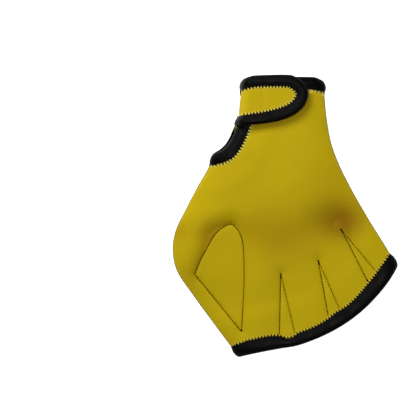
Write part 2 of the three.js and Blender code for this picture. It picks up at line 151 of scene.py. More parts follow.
FINGER_WEBS = (
    # tip x, tip y, foot x, foot y, other foot x, other foot y
    (-0.024, -0.202, -0.030, -0.419, 0.039, -0.416),
    (0.141, -0.155, 0.185, -0.350, 0.234, -0.325),
    (0.240, -0.044, 0.358, -0.227, 0.392, -0.192),
)

# How far a finger's web runs on past its feet, as a share of its sides
WEB_PAST_FOOT = 0.35

# Dents in the back: place as above, radius as a share of the width, depth as a share of the hand's height
DENTS = (
    # x, y, radius, depth
    (0.262, -0.018, 0.085, 0.22),
    (-0.340, -0.062, 0.062, 0.11),
    (-0.480, -0.050, 0.055, 0.09),
    (0.200, 0.110, 0.120, 0.05),
    (0.020, -0.080, 0.120, 0.09),
    (0.160, -0.020, 0.090, 0.11),
    (-0.130, -0.065, 0.100, 0.07),
)
FASTENER_CENTRE = (-0.045, 0.42)

# The fastener's rings from under to over it: share of its size and of its thickness, and how round it is
FASTENER_RINGS = (
    (0.5, 0.0), (0.8, 0.0), (0.97, 0.02), (1.0, 0.2), (0.97, 0.5),
    (1.0, 0.8), (0.97, 0.98), (0.8, 1.0), (0.5, 1.0),
)
FASTENER_SQUARENESS = 0.25
FASTENER_POINTS = 64

# Width of the tape at the fingers by its place across the hand, which is a share of the width
FINGER_TAPE_WIDTHS = (
    # x, width
    (-0.201, 9.3), (-0.172, 10.1), (-0.111, 10.4), (-0.068, 10.3), (-0.030, 9.2), (0.000, 6.2),
    (0.025, 6.6), (0.050, 8.4), (0.129, 8.4), (0.185, 9.3), (0.217, 10.4), (0.271, 9.6),
    (0.357, 10.7), (0.408, 10.8), (0.458, 9.3),
)

# The same for the tape on the back's wrist edge, and for the strap's tape above and below the strap's middle
BACK_TAPE_WIDTHS = ((-0.200, 8.6), (0.080, 8.6), (0.130, 8.2), (0.160, 6.6))
STRAP_UPPER_WIDTHS = ((-0.200, 6.2), (-0.150, 7.8), (0.0, 8.2))
STRAP_LOWER_WIDTHS = ((-0.215, 6.4), (-0.150, 7.4), (-0.050, 8.2))
STRAP_MIDDLE = 0.41

# Steps of a smooth path between its points, and share of its distance that an offset path may come nearer
PATH_STEPS = 8
OFFSET_SLACK = 0.02

# Search for the u and v of points in plan, from a coarse grid and then by Newton's method
GRID_ACROSS = 31
GRID_ALONG = 57
POINTS_AT_ONCE = 4000
NEWTON_STEPS = 6
SMALL_STEP = 1e-4

# Grain of the fine meshes, and distances of their lines from sewn seams, side seams and tapes
SIDE_SAMPLES = 400
CLOTH_STEP = 1.3
SEAM_STEP = 0.7
BORDER_STEP = 0.5
SEAM_RINGS = (0.0, 0.3, 0.65, 1.1, 1.8)
SIDE_RINGS = (0.04, 0.16, 0.36, 0.65, 1.0, 1.5, 2.2, 3.1)
BORDER_RINGS = (-0.7, 0.1, 0.6, 1.2, 1.9)
OUTLINE_MARGIN = 0.9
SAME_PLACE = 0.02
TAPE_STEP = 0.42
TAPE_LINE_STEP = 0.4
TAPE_END_POINTS = 14
SCALLOP_STEP = 0.3
THREAD_SIDES = 6

# Width that the binding tape is cut to, and how far it reaches in from the cloth's inner face
TAPE_INSIDE = 0.95
FINGER_TAPE_INSIDE = 0.9

# Height of the tapes' crowns on the palm, which lies on them, as a share of that on the back
PALM_CROWN = 0.65

# Number of points before and after the corner of the back's tape from which it turns
CORNER_POINTS = 3

# The relief of the cloth fades out towards the side seams, and shows less on the inner face
SIDE_FADE = 6.0
INNER_RELIEF = 0.3

# Depth of a dent at which the shade painted into its cloth is at its darkest
FULL_PAINTED_SHADE_DEPTH = 7.0

# Share of shade painted along the strap's edges, where it casts its shadow, and how far it reaches
STRAP_SHADOW_PAINT = 0.45
STRAP_SHADOW_PAINT_REACH = 4.5

# Share of the shade painted in dents that shows on the thumb's web, which is flat
WEB_PAINTED_SHADE = 0.3

# Shade painted along the thumb's web on the thumb's side, its reach, and where across the hand it fades out
# and how gently
WEB_SIDE_PAINTED_SHADE = 0.24
WEB_SIDE_REACH = 6.0
WEB_SIDE_PLACE = -0.235
WEB_SIDE_BLEND = 15.0

# Sewn seams in the panels
GROOVE_DEPTH = 0.55
GROOVE_REACH = 0.42
DIP_DEPTH = 0.45
DIP_REACH = 1.9
PUCKER_PITCH = 3.1
PUCKER_DEPTH = 0.09
TIP_DEPTH = 0.35
TIP_REACH = 3.4
STRAP_LINE = ((-0.104, 0.372), (-0.104, 0.454))
STRAP_LINE_DEPTH = 0.35

# Threads in the seams: length of a stitch and of the gap after it, radii, and depths as shares of the seam's
# Solid seams have long, close stitches, a dark line that is partly thread and partly stands in for the shade
# in the groove
SOLID_STITCH = (1.8, 0.45)
DOTTED_STITCH = (1.0, 0.9)
FIRST_STITCH = 0.6
SEAM_THREAD_RADIUS = 0.30
SEAM_THREAD_DEPTH = 0.70
SIDE_THREAD_RADIUS = 0.32
KNOT_LENGTH = 2.8
KNOT_RADIUS = 0.55
KNOT_DEPTH = 0.45
KNOT_PAST = 0.3
SIDE_THREAD_POINTS = 260

# Lines this near a tape's border lie square to it, so that its scallops, stitches and puffs line up
SQUARE_REACH = 4.5
SQUARE_BLEND = 2.5
SQUARE_START = 2.0
SQUARE_START_BLEND = 8.0
SCALLOP_START_BLEND = 3.0

# Zigzag stitches along the tapes, and the cloth that puffs up between them
STITCH_PITCH = 2.5
STITCH_OUT = 1.35
STITCH_IN = 1.5
STITCH_RADIUS = 0.27
ZIGZAG = (
    # distance out from the tape's border, height over the cloth, share of the pitch
    (STITCH_OUT, 0.02, 0.0), (0.30, 0.5, 0.12), (-STITCH_IN, 1.05, 0.5), (0.30, 0.5, 0.88),
)
TOOTH = 0.42
PUFF_HEIGHT = 0.42
PUFF_PLACE = 0.75
PUFF_REACH = 0.85
PULL_DEPTH = 0.35

# How strongly the cloth puffs at the tapes, and how much paler paint and painted highlight it gets there,
# where that isn't 1; the back's is raised so that its painted highlight shows in the tape's shadow
FINGER_PUFFS = 0.35
BACK_PUFFS = 1.5

# Layers: which way they bulge from the side seam, how soon they are at full height, their lift and dents
BACK = {"sign": 1, "rounding": BACK_ROUNDING, "lift": 0.0, "dented": True}
PALM = {"sign": -1, "rounding": PALM_ROUNDING, "lift": 0.0, "dented": False}
STRAP = {"sign": 1, "rounding": STRAP_ROUNDING, "lift": STRAP_LIFT, "dented": False}

# Colours of the cloth, and depth of its grain; the last two are painted on: a paler yellow for stretched
# cloth and for highlights, and a brown for shade
BUMP_DISTANCE = 0.0002
DARK_YELLOW = (0.560, 0.415, 0.0030)
LIGHT_YELLOW = (0.630, 0.470, 0.0040)
FIBRE_SHADE = (0.48, 0.34, 0.004)
PULLED_PALE_AND_HIGHLIGHT = (0.80, 0.68, 0.14)
PAINTED_SHADE_COLOUR = (0.20, 0.05, 0.002)

# Camera, lights and floor, in metres: the camera sees a field this wide at this height
FIELD = 0.312
FIELD_HEIGHT = 0.012
CAMERA_HEIGHT = 1.6
CAMERA_PLACE = (-0.0672, 0.0129)
SENSOR = 36.0
FLOOR_HALF = 3.0
WORLD_STRENGTH = 0.02
LIGHTS = (
    # name, place, size, power, colour
    ("key", (-0.34, 0.62, 0.60), 0.40, 4.6, (1.0, 0.99, 0.96)),
    ("top", (0.0, 0.0, 1.2), 0.40, 6.1, (1.0, 1.0, 0.98)),
)
LIGHT_TARGET = (-0.02, 0, 0)

SIZES = np.array([GLOVE_WIDTH, GLOVE_LENGTH])


# Curves and distances in plan

def plan_points(shares):
    return np.array(shares, float) * SIZES


def spline(points, share):
    """Points of the smooth curve through rows of numbers, at shares of its way."""
    last = len(points) - 1
    place = np.clip(np.atleast_1d(share), 0, 1) * last
    index = np.floor(place).astype(int)
    rest = (place - index)[:, None]
    start = points[index]
    end = points[np.minimum(index + 1, last)]
    arriving = (end - points[np.maximum(index - 1, 0)]) / 2
    leaving = (points[np.minimum(index + 2, last)] - start) / 2
    cubic = 2 * start - 2 * end + arriving + leaving
    square = 3 * end - 3 * start - 2 * arriving - leaving
    return cubic * rest**3 + square * rest**2 + arriving * rest + start


def smooth_path(shares):
    points = plan_points(shares)
    return spline(points, np.linspace(0, 1, (len(points) - 1) * PATH_STEPS + 1))


def lengths_along(path):
    steps = np.hypot(*np.diff(path, axis=0).T)
    return np.concatenate([[0], np.cumsum(steps)])


def between_points(path, places, wanted):
    return np.stack([np.interp(wanted, places, column) for column in path.T], axis=1)


def at_lengths(path, wanted):
    return between_points(path, lengths_along(path), wanted)


def resample(path, step):
    total = lengths_along(path)[-1]
    return at_lengths(path, np.linspace(0, total, max(int(round(total / step)), 1) + 1))


def distance_to_path(points, path):
    nearest = np.full(len(points), np.inf)
    for start, end in zip(path[:-1], path[1:]):
        along = end - start
        share = np.clip((points - start) @ along / max(along @ along, 1e-12), 0, 1)
        gap = points - start - share[:, None] * along
        nearest = np.minimum(nearest, np.einsum("ij,ij->i", gap, gap))
    return np.sqrt(nearest)


def is_inside(points, outline):
    inside = np.zeros(len(points), bool)
    for corner, previous in zip(outline, np.roll(outline, 1, axis=0)):
        if corner[1] == previous[1]:
            continue
        straddles = (corner[1] > points[:, 1]) != (previous[1] > points[:, 1])
        slope = (previous[0] - corner[0]) / (previous[1] - corner[1])
        inside ^= straddles & (points[:, 0] < corner[0] + slope * (points[:, 1] - corner[1]))
    return inside


def cross(first, second):
    return first[..., 0] * second[..., 1] - first[..., 1] * second[..., 0]


def to_right(steps):
    """The unit vectors to the right of steps in plan."""
    return np.stack([steps[:, 1], -steps[:, 0]], axis=1) / np.hypot(*steps.T)[:, None]


def right_normals(path):
    return to_right(np.gradient(path, axis=0))


def shifted(path, distance):
    """The path with each of its points moved to its right."""
    return path + right_normals(path) * distance


def offset_path(path, distance):
    """The path moved to its right, with what would fold over itself left out."""
    moved = shifted(path, distance)
    kept = distance_to_path(moved, path) > abs(distance) - OFFSET_SLACK * abs(distance) - 1e-6
    kept[[0, -1]] = True
    return moved[kept]


def crossings(path, other):
    """Where a path crosses another, as the number of its point and a share of the way to the next."""
    found = []
    for i, (start, end) in enumerate(zip(path[:-1], path[1:])):
        along = end - start
        across = np.diff(other, axis=0)
        spread = cross(along, across)
        spread[spread == 0] = 1e-12
        gap = other[:-1] - start
        here = cross(gap, across) / spread
        there = cross(gap, along) / spread
        hit = (here >= 0) & (here < 1) & (there >= 0) & (there < 1)
        for j in np.nonzero(hit)[0]:
            found.append((i + here[j], j + there[j]))
    return sorted(found)


def stretch(path, start, end):
    """The part of a path between two places, walked either way."""
    if start > end:
        return stretch(path, end, start)[::-1]
    numbers = np.arange(len(path))
    between = numbers[(numbers > start + 1e-6) & (numbers < end - 1e-6)]
    places = np.concatenate([[start], between, [end]])
    return between_points(path, numbers, places)


def ease(share):
    t = np.clip(share, 0, 1)
    return t * t * (3 - 2 * t)


def bell(distance, reach):
    return np.exp(-((distance / reach) ** 2))


# The hand's form as a patch: u runs from the thumb side to the little-finger side, v from wrist to fingers

ROW_TABLE = np.array(ROWS)
SIDES = {1: ROW_TABLE[:, 0:2] * SIZES, -1: ROW_TABLE[:, 2:4] * SIZES}
BOWS = ROW_TABLE[:, 4:5]
HEIGHT_TABLE = np.array(HEIGHTS) * HAND_HEIGHT


def side_points(outward, v, grow):
    """A side line grown outwards; outward is 1 on the thumb side and -1 on the other."""
    line = SIDES[outward]
    tangent = spline(line, np.minimum(v + SMALL_STEP, 1)) - spline(line, np.maximum(v - SMALL_STEP, 0))
    return spline(line, v) + outward * to_right(tangent) * grow


def patch_plan(u, v, grow):
    left = side_points(1, v, grow)
    chord = side_points(-1, v, grow) - left
    bow = spline(BOWS, v)[:, 0] * GLOVE_LENGTH * 4 * u * (1 - u)
    return left + chord * u[:, None] + to_right(chord) * bow[:, None]


def side_line(outward, grow):
    return side_points(outward, np.linspace(0, 1, SIDE_SAMPLES + 1), grow)


def patch_place(plan, grow):
    """The u and v of points in plan."""
    grid_u, grid_v = np.meshgrid(np.linspace(0, 1, GRID_ACROSS), np.linspace(0, 1, GRID_ALONG))
    grid_u, grid_v = grid_u.ravel(), grid_v.ravel()
    grid = patch_plan(grid_u, grid_v, grow)
    nearest = np.empty(len(plan), int)
    for first in range(0, len(plan), POINTS_AT_ONCE):
        some = plan[first:first + POINTS_AT_ONCE]
        gap = ((some[:, None, :] - grid[None]) ** 2).sum(axis=2)
        nearest[first:first + POINTS_AT_ONCE] = gap.argmin(axis=1)
    u = grid_u[nearest]
    v = grid_v[nearest]
    for _ in range(NEWTON_STEPS):
        here = patch_plan(u, v, grow)
        by_u = (patch_plan(u + SMALL_STEP, v, grow) - here) / SMALL_STEP
        inward = np.where(v > 0.5, -SMALL_STEP, SMALL_STEP)
        by_v = (patch_plan(u, v + inward, grow) - here) / inward[:, None]
        gap = plan - here
        spread = cross(by_u, by_v)
        u = u + cross(gap, by_v) / spread
        v = np.clip(v + cross(by_u, gap) / spread, 0, 1)
    return np.clip(u, 0, 1), v


def rounding(distance, reach):
    """Share of full height at a distance from the side seam, a quarter ellipse."""
    rest = 1 - np.minimum(distance / reach, 1)
    return np.sqrt(1 - rest * rest)


MOUTH_PATH = smooth_path(FINGER_MOUTH)
WRIST_PATH = smooth_path(WRIST_EDGE)
PALM_NOTCH_PATH = smooth_path(PALM_NOTCH)
STRAP_PATH = smooth_path(STRAP_EDGE)
THUMB_WEB_PATH = smooth_path(THUMB_WEB)
THUMB_WEB_CHORD = THUMB_WEB_PATH[[-1, 0]]


WEB_CORNERS = [plan_points([row[0:2], row[2:4], row[4:6]]) for row in FINGER_WEBS]


def finger_web_outline(tip, foot, other):
    return np.array([tip, foot + (foot - tip) * WEB_PAST_FOOT, other + (other - tip) * WEB_PAST_FOOT, tip])


WEBS = [(np.vstack([THUMB_WEB_PATH, THUMB_WEB_PATH[:1]]), THUMB_WEB_RISE, THUMB_WEB_HANG)]
WEBS += [(finger_web_outline(*corners), FINGER_WEB_RISE, FINGER_WEB_HANG) for corners in WEB_CORNERS]


def hand_heights(plan, u, v):
    """Height of the hand without its webs and with them, and how high the webs hang."""
    thumb, middle, little = spline(HEIGHT_TABLE, v).T
    domed = thumb * (2 * u - 1) * (u - 1) + middle * 4 * u * (1 - u) + little * u * (2 * u - 1)
    from_mouth = distance_to_path(plan, MOUTH_PATH) - FINGER_TAPE_WIDTH
    sewn = 2 * NEOPRENE + CLEARANCE + SEAM_PLAY + 2 * TAPE_REACH * (1 - ease(from_mouth / MOUTH_BLEND))
    domed = np.maximum(domed, sewn)
    rise = np.ones(len(plan))
    weight = np.full(len(plan), 1e-9)
    hang = np.zeros(len(plan))
    for outline, reach, web_hang in WEBS:
        distance = np.where(is_inside(plan, outline[:-1]), 0, distance_to_path(plan, outline))
        share = np.sin(np.minimum(distance / reach, 1) * math.pi / 2)
        rise *= share
        weight += 1 - share
        hang += (1 - share) * web_hang
    return domed, sewn + (domed - sewn) * rise, hang / weight


def floor_lift(plan):
    """How high the tapes under the palm hold it."""
    edges = (
        (MOUTH_PATH, FINGER_TAPE_WIDTH), (WRIST_PATH, EDGE_TAPE_WIDTH), (PALM_NOTCH_PATH, EDGE_TAPE_WIDTH),
    )
    from_tape = np.min([distance_to_path(plan, path) - width for path, width in edges], axis=0)
    return TAPE_REACH * (1 - ease((from_tape - LIFT_MARGIN) / LIFT_BLEND))


def dent_depth(plan):
    depth = np.zeros(len(plan))
    for x, y, radius, share in DENTS:
        gap = np.hypot(*(plan - plan_points([(x, y)])).T)
        depth += share * HAND_HEIGHT * bell(gap, radius * GLOVE_WIDTH)
    return depth


def layer_surface(layer, grow, u, v):
    """Points of a layer's outer face, grown outwards. Grow is one number, or one for each point."""
    grow = np.broadcast_to(np.asarray(grow, float), u.shape)
    plan = np.empty((len(u), 2))
    from_side = np.empty(len(u))
    for value in np.unique(grow):
        some = grow == value
        plan[some] = patch_plan(u[some], v[some], value)
        lines = [distance_to_path(plan[some], side_line(outward, value)) for outward in SIDES]
        from_side[some] = np.minimum(*lines)
    from_side[(u <= 0) | (u >= 1)] = 0
    domed, height, hang = hand_heights(plan, u, v)
    dent = np.minimum(dent_depth(plan), height / 2 - NEOPRENE - CLEARANCE) if layer["dented"] else 0
    half = np.maximum((height - CLEARANCE) / 2 + layer["lift"] + grow - np.maximum(dent, 0), 0)
    middle = floor_lift(plan) + (height + hang * (domed - height)) / 2
    bulge = CLEARANCE / 2 + half * rounding(from_side, layer["rounding"])
    return np.column_stack([plan, middle + layer["sign"] * bulge])


# Seams: each is a line in plan, and whether it shows as a dotted line; a solid line is a dark run of thread
# that stands in partly for the shade in its groove

def seam_lines():
    lines = [(resample(THUMB_WEB_PATH, SEAM_STEP), False), (resample(THUMB_WEB_CHORD, SEAM_STEP), False)]
    for tip, foot, other in WEB_CORNERS:
        lines.append((resample(np.array([tip, foot]), SEAM_STEP), False))
        lines.append((resample(np.array([tip, other]), SEAM_STEP), True))
    return lines


SEAMS = seam_lines()
SEAM_LINES = [line for line, _ in SEAMS]
STRAP_SEAM = resample(plan_points(STRAP_LINE), SEAM_STEP)


def seam_relief(plan, lines, scale):
    """How deep the seams pull the cloth in."""
    depth = np.zeros(len(plan))
    for line in lines:
        distance = distance_to_path(plan, line)
        near = distance < 3 * DIP_REACH
        place = ((plan[near][:, None] - line[None]) ** 2).sum(axis=2).argmin(axis=1)
        wave = 1 + np.sin(place * SEAM_STEP * 2 * math.pi / PUCKER_PITCH)
        here = GROOVE_DEPTH * bell(distance[near], GROOVE_REACH)
        here += (DIP_DEPTH + PUCKER_DEPTH * wave) * bell(distance[near], DIP_REACH)
        depth[near] = np.maximum(depth[near], here)
    if len(lines) > 1:
        for tip, _, _ in WEB_CORNERS:
            depth += TIP_DEPTH * bell(np.hypot(*(plan - tip).T), TIP_REACH)
    return depth * scale


def puffs(plan, borders):
    """How high the cloth puffs up between the stitches of its tapes, and how much paler it is painted there,
    partly for the stretched cloth and partly as a painted highlight.
    """
    height = np.zeros(len(plan))
    pale_and_highlight = np.zeros(len(plan))
    for line, along, strength in borders:
        near = np.nonzero(distance_to_path(plan, line[::4]) < 4 * PUFF_REACH)[0]
        if not len(near):
            continue
        place = ((plan[near][:, None] - line[None]) ** 2).sum(axis=2).argmin(axis=1)
        inward = right_normals(line)[place]
        distance = ((plan[near] - line[place]) * inward).sum(axis=1)
        tooth = 0.5 + 0.5 * np.cos(along[place] * 2 * math.pi / STITCH_PITCH)
        band = bell(distance - PUFF_PLACE, PUFF_REACH)
        pulled = bell(distance - STITCH_OUT, PUFF_REACH) * tooth**2
        height[near] += (PUFF_HEIGHT * band * (1 - tooth) - PULL_DEPTH * pulled) * strength
        # Paler paint of stretched cloth and a painted highlight on each puff
        pale_and_highlight[near] = np.maximum(pale_and_highlight[near], band * (1 - tooth) * strength)
    return height, pale_and_highlight


def painted_shade_share(plan):
    """How much shade is painted on the back: in its dents, beside the thumb's web, and beside the strap where
    its shadow falls.
    """
    # Painted shadow along both edges of the strap
    strap = STRAP_SHADOW_PAINT * bell(distance_to_path(plan, STRAP_PATH), STRAP_SHADOW_PAINT_REACH)
    # Painted shade beside the thumb's web, on the thumb's side of it
    leftward = ease((WEB_SIDE_PLACE * GLOVE_WIDTH - plan[:, 0]) / WEB_SIDE_BLEND + 0.5)
    beside_web = bell(distance_to_path(plan, THUMB_WEB_PATH), WEB_SIDE_REACH)
    painted_shade = dent_depth(plan) / FULL_PAINTED_SHADE_DEPTH + WEB_SIDE_PAINTED_SHADE * leftward * beside_web
    painted_shade[is_inside(plan, WEBS[0][0])] *= WEB_PAINTED_SHADE
    return np.clip(painted_shade + strap, 0, 1)


def cloth_waves(plan):
    """Slight unevenness of the hand-sewn cloth."""
    x, y = plan.T
    wave = 0.16 * np.sin(x / 17 + 0.6) * np.sin(y / 23 + 1.1)
    wave += 0.10 * np.sin((x + 0.7 * y) / 9.0 + 2.0) + 0.07 * np.sin((x - 1.3 * y) / 6.1)
    return wave


# Meshes

def add_object(name, data):
    obj = bpy.data.objects.new(name, data)
    bpy.context.scene.collection.objects.link(obj)
    return obj


def make_object(name, vertices, faces, material, replaces=(), sharp_edges=()):
    """A mesh from millimetres, pressed flat where it would go below the surface that it lies on."""
    mesh = bpy.data.meshes.new(name)
    places = np.array(vertices)
    places[:, 2] = np.maximum(places[:, 2], LOWEST)
    mesh.from_pydata((places * MM).tolist(), [], [tuple(face) for face in faces])
    mesh.validate()
    mesh.shade_smooth()
    mesh.materials.append(material)
    obj = add_object(name, mesh)
    if len(sharp_edges):
        wanted = {tuple(sorted(edge)) for edge in sharp_edges}
        for edge in mesh.edges:
            edge.use_edge_sharp = tuple(sorted(edge.vertices)) in wanted
    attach(obj, "root")
    if replaces:
        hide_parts(*replaces)
    return obj


def hexagonal_grid(low, high, step):
    rows = np.arange(low[1], high[1], step * math.sqrt(3) / 2)
    points = []
    for number, y in enumerate(rows):
        x = np.arange(low[0] + (number % 2) * step / 2, high[0], step)
        points.append(np.column_stack([x, np.full(len(x), y)]))
    return np.vstack(points)


def plan_mesh(outline, side_paths, seams, borders):
    """A fine triangle mesh of the plan inside an outline, closer along the side seams and the sewn seams."""
    low, high = outline.min(axis=0), outline.max(axis=0)
    closed = np.vstack([outline, outline[:1]])
    groups = []
    guides = []
    for path in side_paths:
        for ring in SIDE_RINGS:
            for outward in (1, -1):
                points = shifted(path, ring * outward)
                keep = is_inside(points, outline)
                keep &= distance_to_path(points, closed) > ring * OUTLINE_MARGIN
                groups.append(points[keep])
        guides.append((path, SIDE_RINGS[-1] + CLOTH_STEP * 0.7))
    for line in seams:
        for ring in SEAM_RINGS:
            for outward in ((1,) if ring == 0 else (1, -1)):
                groups.append(shifted(line, ring * outward))
        guides.append((line, SEAM_RINGS[-1] + CLOTH_STEP * 0.6))
    for line, _, _ in borders:
        fine = resample(line, BORDER_STEP)
        for ring in BORDER_RINGS:
            groups.append(shifted(fine, ring))
        guides.append((resample(line, 2), BORDER_RINGS[-1] + BORDER_STEP))
    grid = hexagonal_grid(low, high, CLOTH_STEP)
    grid = grid[is_inside(grid, outline)]
    for path, reach in guides:
        grid = grid[distance_to_path(grid, path) > reach]
    points = np.vstack(groups + [grid])
    points = points[is_inside(points, outline)]
    points = points[distance_to_path(points, closed) > SIDE_RINGS[0] * OUTLINE_MARGIN]
    points = thinned(points)
    everything = np.vstack([outline, points])
    count = len(outline)
    edges = [(i, (i + 1) % count) for i in range(count)]
    made = delaunay_2d_cdt(everything.tolist(), edges, [], 0, 1e-5)
    vertices = np.array([tuple(p) for p in made[0]])
    faces = np.array([tuple(f) for f in made[2]])
    centres = vertices[faces].mean(axis=1)
    faces = faces[is_inside(centres, outline)]
    return vertices, faces


def thinned(points):
    """Points with those left out that share a small cell with an earlier one."""
    _, first = np.unique(np.round(points / SAME_PLACE).astype(int), axis=0, return_index=True)
    return points[np.sort(first)]


def boundary_edges(faces):
    edges = np.vstack([faces[:, [0, 1]], faces[:, [1, 2]], faces[:, [2, 0]]])
    ordered = np.sort(edges, axis=1)
    _, first, counts = np.unique(ordered, axis=0, return_index=True, return_counts=True)
    return edges[first[counts == 1]]


def cloth_shell(name, layer, outline, side_paths, seams, relief_scale, borders, replaces):
    """A closed panel of cloth: its outer face, its inner face and the cut edge round them."""
    plan, faces = plan_mesh(outline, side_paths, seams, borders)
    u, v = patch_place(plan, 0)
    outer = layer_surface(layer, 0, u, v)
    inner = layer_surface(layer, -NEOPRENE, u, v)
    from_sides = [distance_to_path(plan, side_line(outward, 0)) for outward in SIDES]
    fade = np.prod([ease(distance / SIDE_FADE) for distance in from_sides], axis=0)
    puffed, pale_and_highlight = puffs(plan, borders)
    relief = cloth_waves(plan) * fade - seam_relief(plan, seams, relief_scale)
    outer[:, 2] += layer["sign"] * (relief + puffed * np.sqrt(fade))
    inner[:, 2] += layer["sign"] * np.minimum(relief, 0) * INNER_RELIEF
    count = len(plan)
    if layer["sign"] < 0:
        faces = faces[:, ::-1]
    rim = boundary_edges(faces)
    sides = np.column_stack([rim[:, 1], rim[:, 0], rim[:, 0] + count, rim[:, 1] + count])
    everything = [*faces, *(faces[:, ::-1] + count), *sides]
    sharp = [*rim, *(rim + count)]
    obj = make_object(name, np.vstack([outer, inner]), everything, YELLOW, replaces, sharp)
    # Shade painted into the back's colour: in its dents, beside the thumb's web and along the strap
    painted_shade = painted_shade_share(plan) if layer["dented"] else np.zeros(count)
    for label, values in (("pull_and_highlight", pale_and_highlight), ("painted_shade", painted_shade)):
        made = obj.data.attributes.new(label, "FLOAT", "POINT")
        made.data.foreach_set("value", np.concatenate([values, np.zeros(count)]))


def back_edge_path():
    """From the notch along the free edge, round its corner and along the wrist."""
    corner = plan_points([BACK_FREE_CORNER])
    free = resample(np.vstack([smooth_path(BACK_FREE_EDGE), corner]), 1)
    wrist = WRIST_PATH[WRIST_PATH[:, 0] > corner[0, 0] + EDGE_TAPE_WIDTH]
    wrist = resample(np.vstack([corner, wrist]), 1)
    before, after = free[-CORNER_POINTS - 1], wrist[CORNER_POINTS]
    turn = np.linspace(0, 1, 9)[1:-1, None]
    arc = (1 - turn) ** 2 * before + 2 * turn * (1 - turn) * corner + turn**2 * after
    return np.vstack([free[:-CORNER_POINTS], arc, wrist[CORNER_POINTS:]])


BACK_EDGE_PATH = back_edge_path()
LEFT_SIDE = side_line(1, 0)
RIGHT_SIDE = side_line(-1, 0)


def joined(parts):
    """Parts of an outline joined end to end, with their points a step apart."""
    return np.vstack([resample(part, CLOTH_STEP)[:-1] for part in parts])


def whole_outline(edge, on_edge, on_left):
    """Outline of a panel from where an edge leaves the thumb side, along it, and round by the fingers."""
    edge_end, on_right = crossings(edge, RIGHT_SIDE)[-1]
    mouth_left, left_mouth = crossings(MOUTH_PATH, LEFT_SIDE)[0]
    mouth_right, right_mouth = crossings(MOUTH_PATH, RIGHT_SIDE)[-1]
    parts = [
        stretch(edge, on_edge, edge_end),
        stretch(RIGHT_SIDE, on_right, right_mouth),
        stretch(MOUTH_PATH, mouth_right, mouth_left),
        stretch(LEFT_SIDE, left_mouth, on_left),
    ]
    return joined(parts)


def back_outline():
    return whole_outline(BACK_EDGE_PATH, *crossings(BACK_EDGE_PATH, LEFT_SIDE)[0])


def palm_edge_path():
    """The palm's notch, then the thumb side up to the wrist, then the wrist."""
    notch_start, *_, notch_end = crossings(PALM_NOTCH_PATH, LEFT_SIDE)
    wrist_start = crossings(WRIST_PATH, LEFT_SIDE)[0]
    notch = stretch(PALM_NOTCH_PATH, notch_start[0], notch_end[0])
    side = stretch(LEFT_SIDE, notch_end[1], wrist_start[1])
    wrist = stretch(WRIST_PATH, wrist_start[0], len(WRIST_PATH) - 1)
    return np.vstack([notch, side[1:], wrist[1:]]), notch_start[1]


def palm_outline():
    edge, on_left = palm_edge_path()
    return whole_outline(edge, 0, on_left)


def strap_outline():
    first, *_, last = crossings(STRAP_PATH, LEFT_SIDE)
    edge = stretch(STRAP_PATH, first[0], last[0])
    side = stretch(LEFT_SIDE, last[1], first[1])
    return joined([edge, side])[::-1]


# Tapes

def tape_profile(width, deepest, crown=1.0):
    """Section of a folded tape: distance in from the panel's edge, height over its face, and scallop."""
    wall = -NEOPRENE
    outside = [
        (width, 0.08, TOOTH), (width + 0.04, 0.42, TOOTH), (width - 0.45, 0.74, TOOTH * 0.7),
        (width - 1.3, 0.88, TOOTH * 0.2), (width - 2.3, 1.25, 0), (width * 0.6, 1.68, 0),
        (width * 0.36, 1.80, 0), (1.7, 1.66, 0), (0.5, 1.25, 0), (-0.45, 0.62, 0), (-0.95, -0.2, 0),
        (-1.08, wall / 2, 0), (-0.95, wall + 0.2, 0), (-0.45, wall - 0.5, 0), (0.6, wall - deepest, 0),
        (width * 0.5, wall - deepest, 0), (width, wall - 0.7, 0),
    ]
    inside = [
        (width, wall - 0.12, 0), (width * 0.5, wall - 0.12, 0), (0.4, wall - 0.12, 0), (-0.2, wall + 0.4, 0),
        (-0.2, -0.4, 0), (0.4, 0.08, 0), (width * 0.5, 0.08, 0),
    ]
    pressed = [(inset, grow * crown if grow > 0 else grow, tooth) for inset, grow, tooth in outside]
    return pressed + inside


def end_shares(length, step, reach):
    """Places along a row, closer together towards both ends, where it rounds over the side seam."""
    close = reach * (1 - np.cos(np.linspace(0, math.pi / 2, TAPE_END_POINTS)))
    inner = np.linspace(reach, length - reach, max(int((length - 2 * reach) / step), 2))
    return np.concatenate([close[:-1], inner, (length - close[:-1])[::-1]]) / length


def tape_widening(plan, widths, usual):
    """How much wider than usual a tape is, by its place across the hand."""
    places, measured = np.array(widths).T
    return np.interp(plan[:, 0], places * GLOVE_WIDTH, measured - usual)


def finger_tape_extra(plan):
    return tape_widening(plan, FINGER_TAPE_WIDTHS, FINGER_TAPE_WIDTH)


def back_tape_extra(plan):
    on_wrist = plan[:, 1] > BACK_FREE_EDGE[-1][1] * GLOVE_LENGTH
    return np.where(on_wrist, tape_widening(plan, BACK_TAPE_WIDTHS, EDGE_TAPE_WIDTH), 0)


def strap_tape_extra(plan):
    upper = tape_widening(plan, STRAP_UPPER_WIDTHS, STRAP_TAPE_WIDTH)
    lower = tape_widening(plan, STRAP_LOWER_WIDTHS, STRAP_TAPE_WIDTH)
    return np.where(plan[:, 1] > STRAP_MIDDLE * GLOVE_LENGTH, upper, lower)


def even_tape(plan):
    return np.zeros(len(plan))


def tape(layer, path, width, sides, extra=even_tape, puffs=1.0):
    return {"layer": layer, "path": path, "width": width, "sides": sides, "extra": extra, "puffs": puffs}


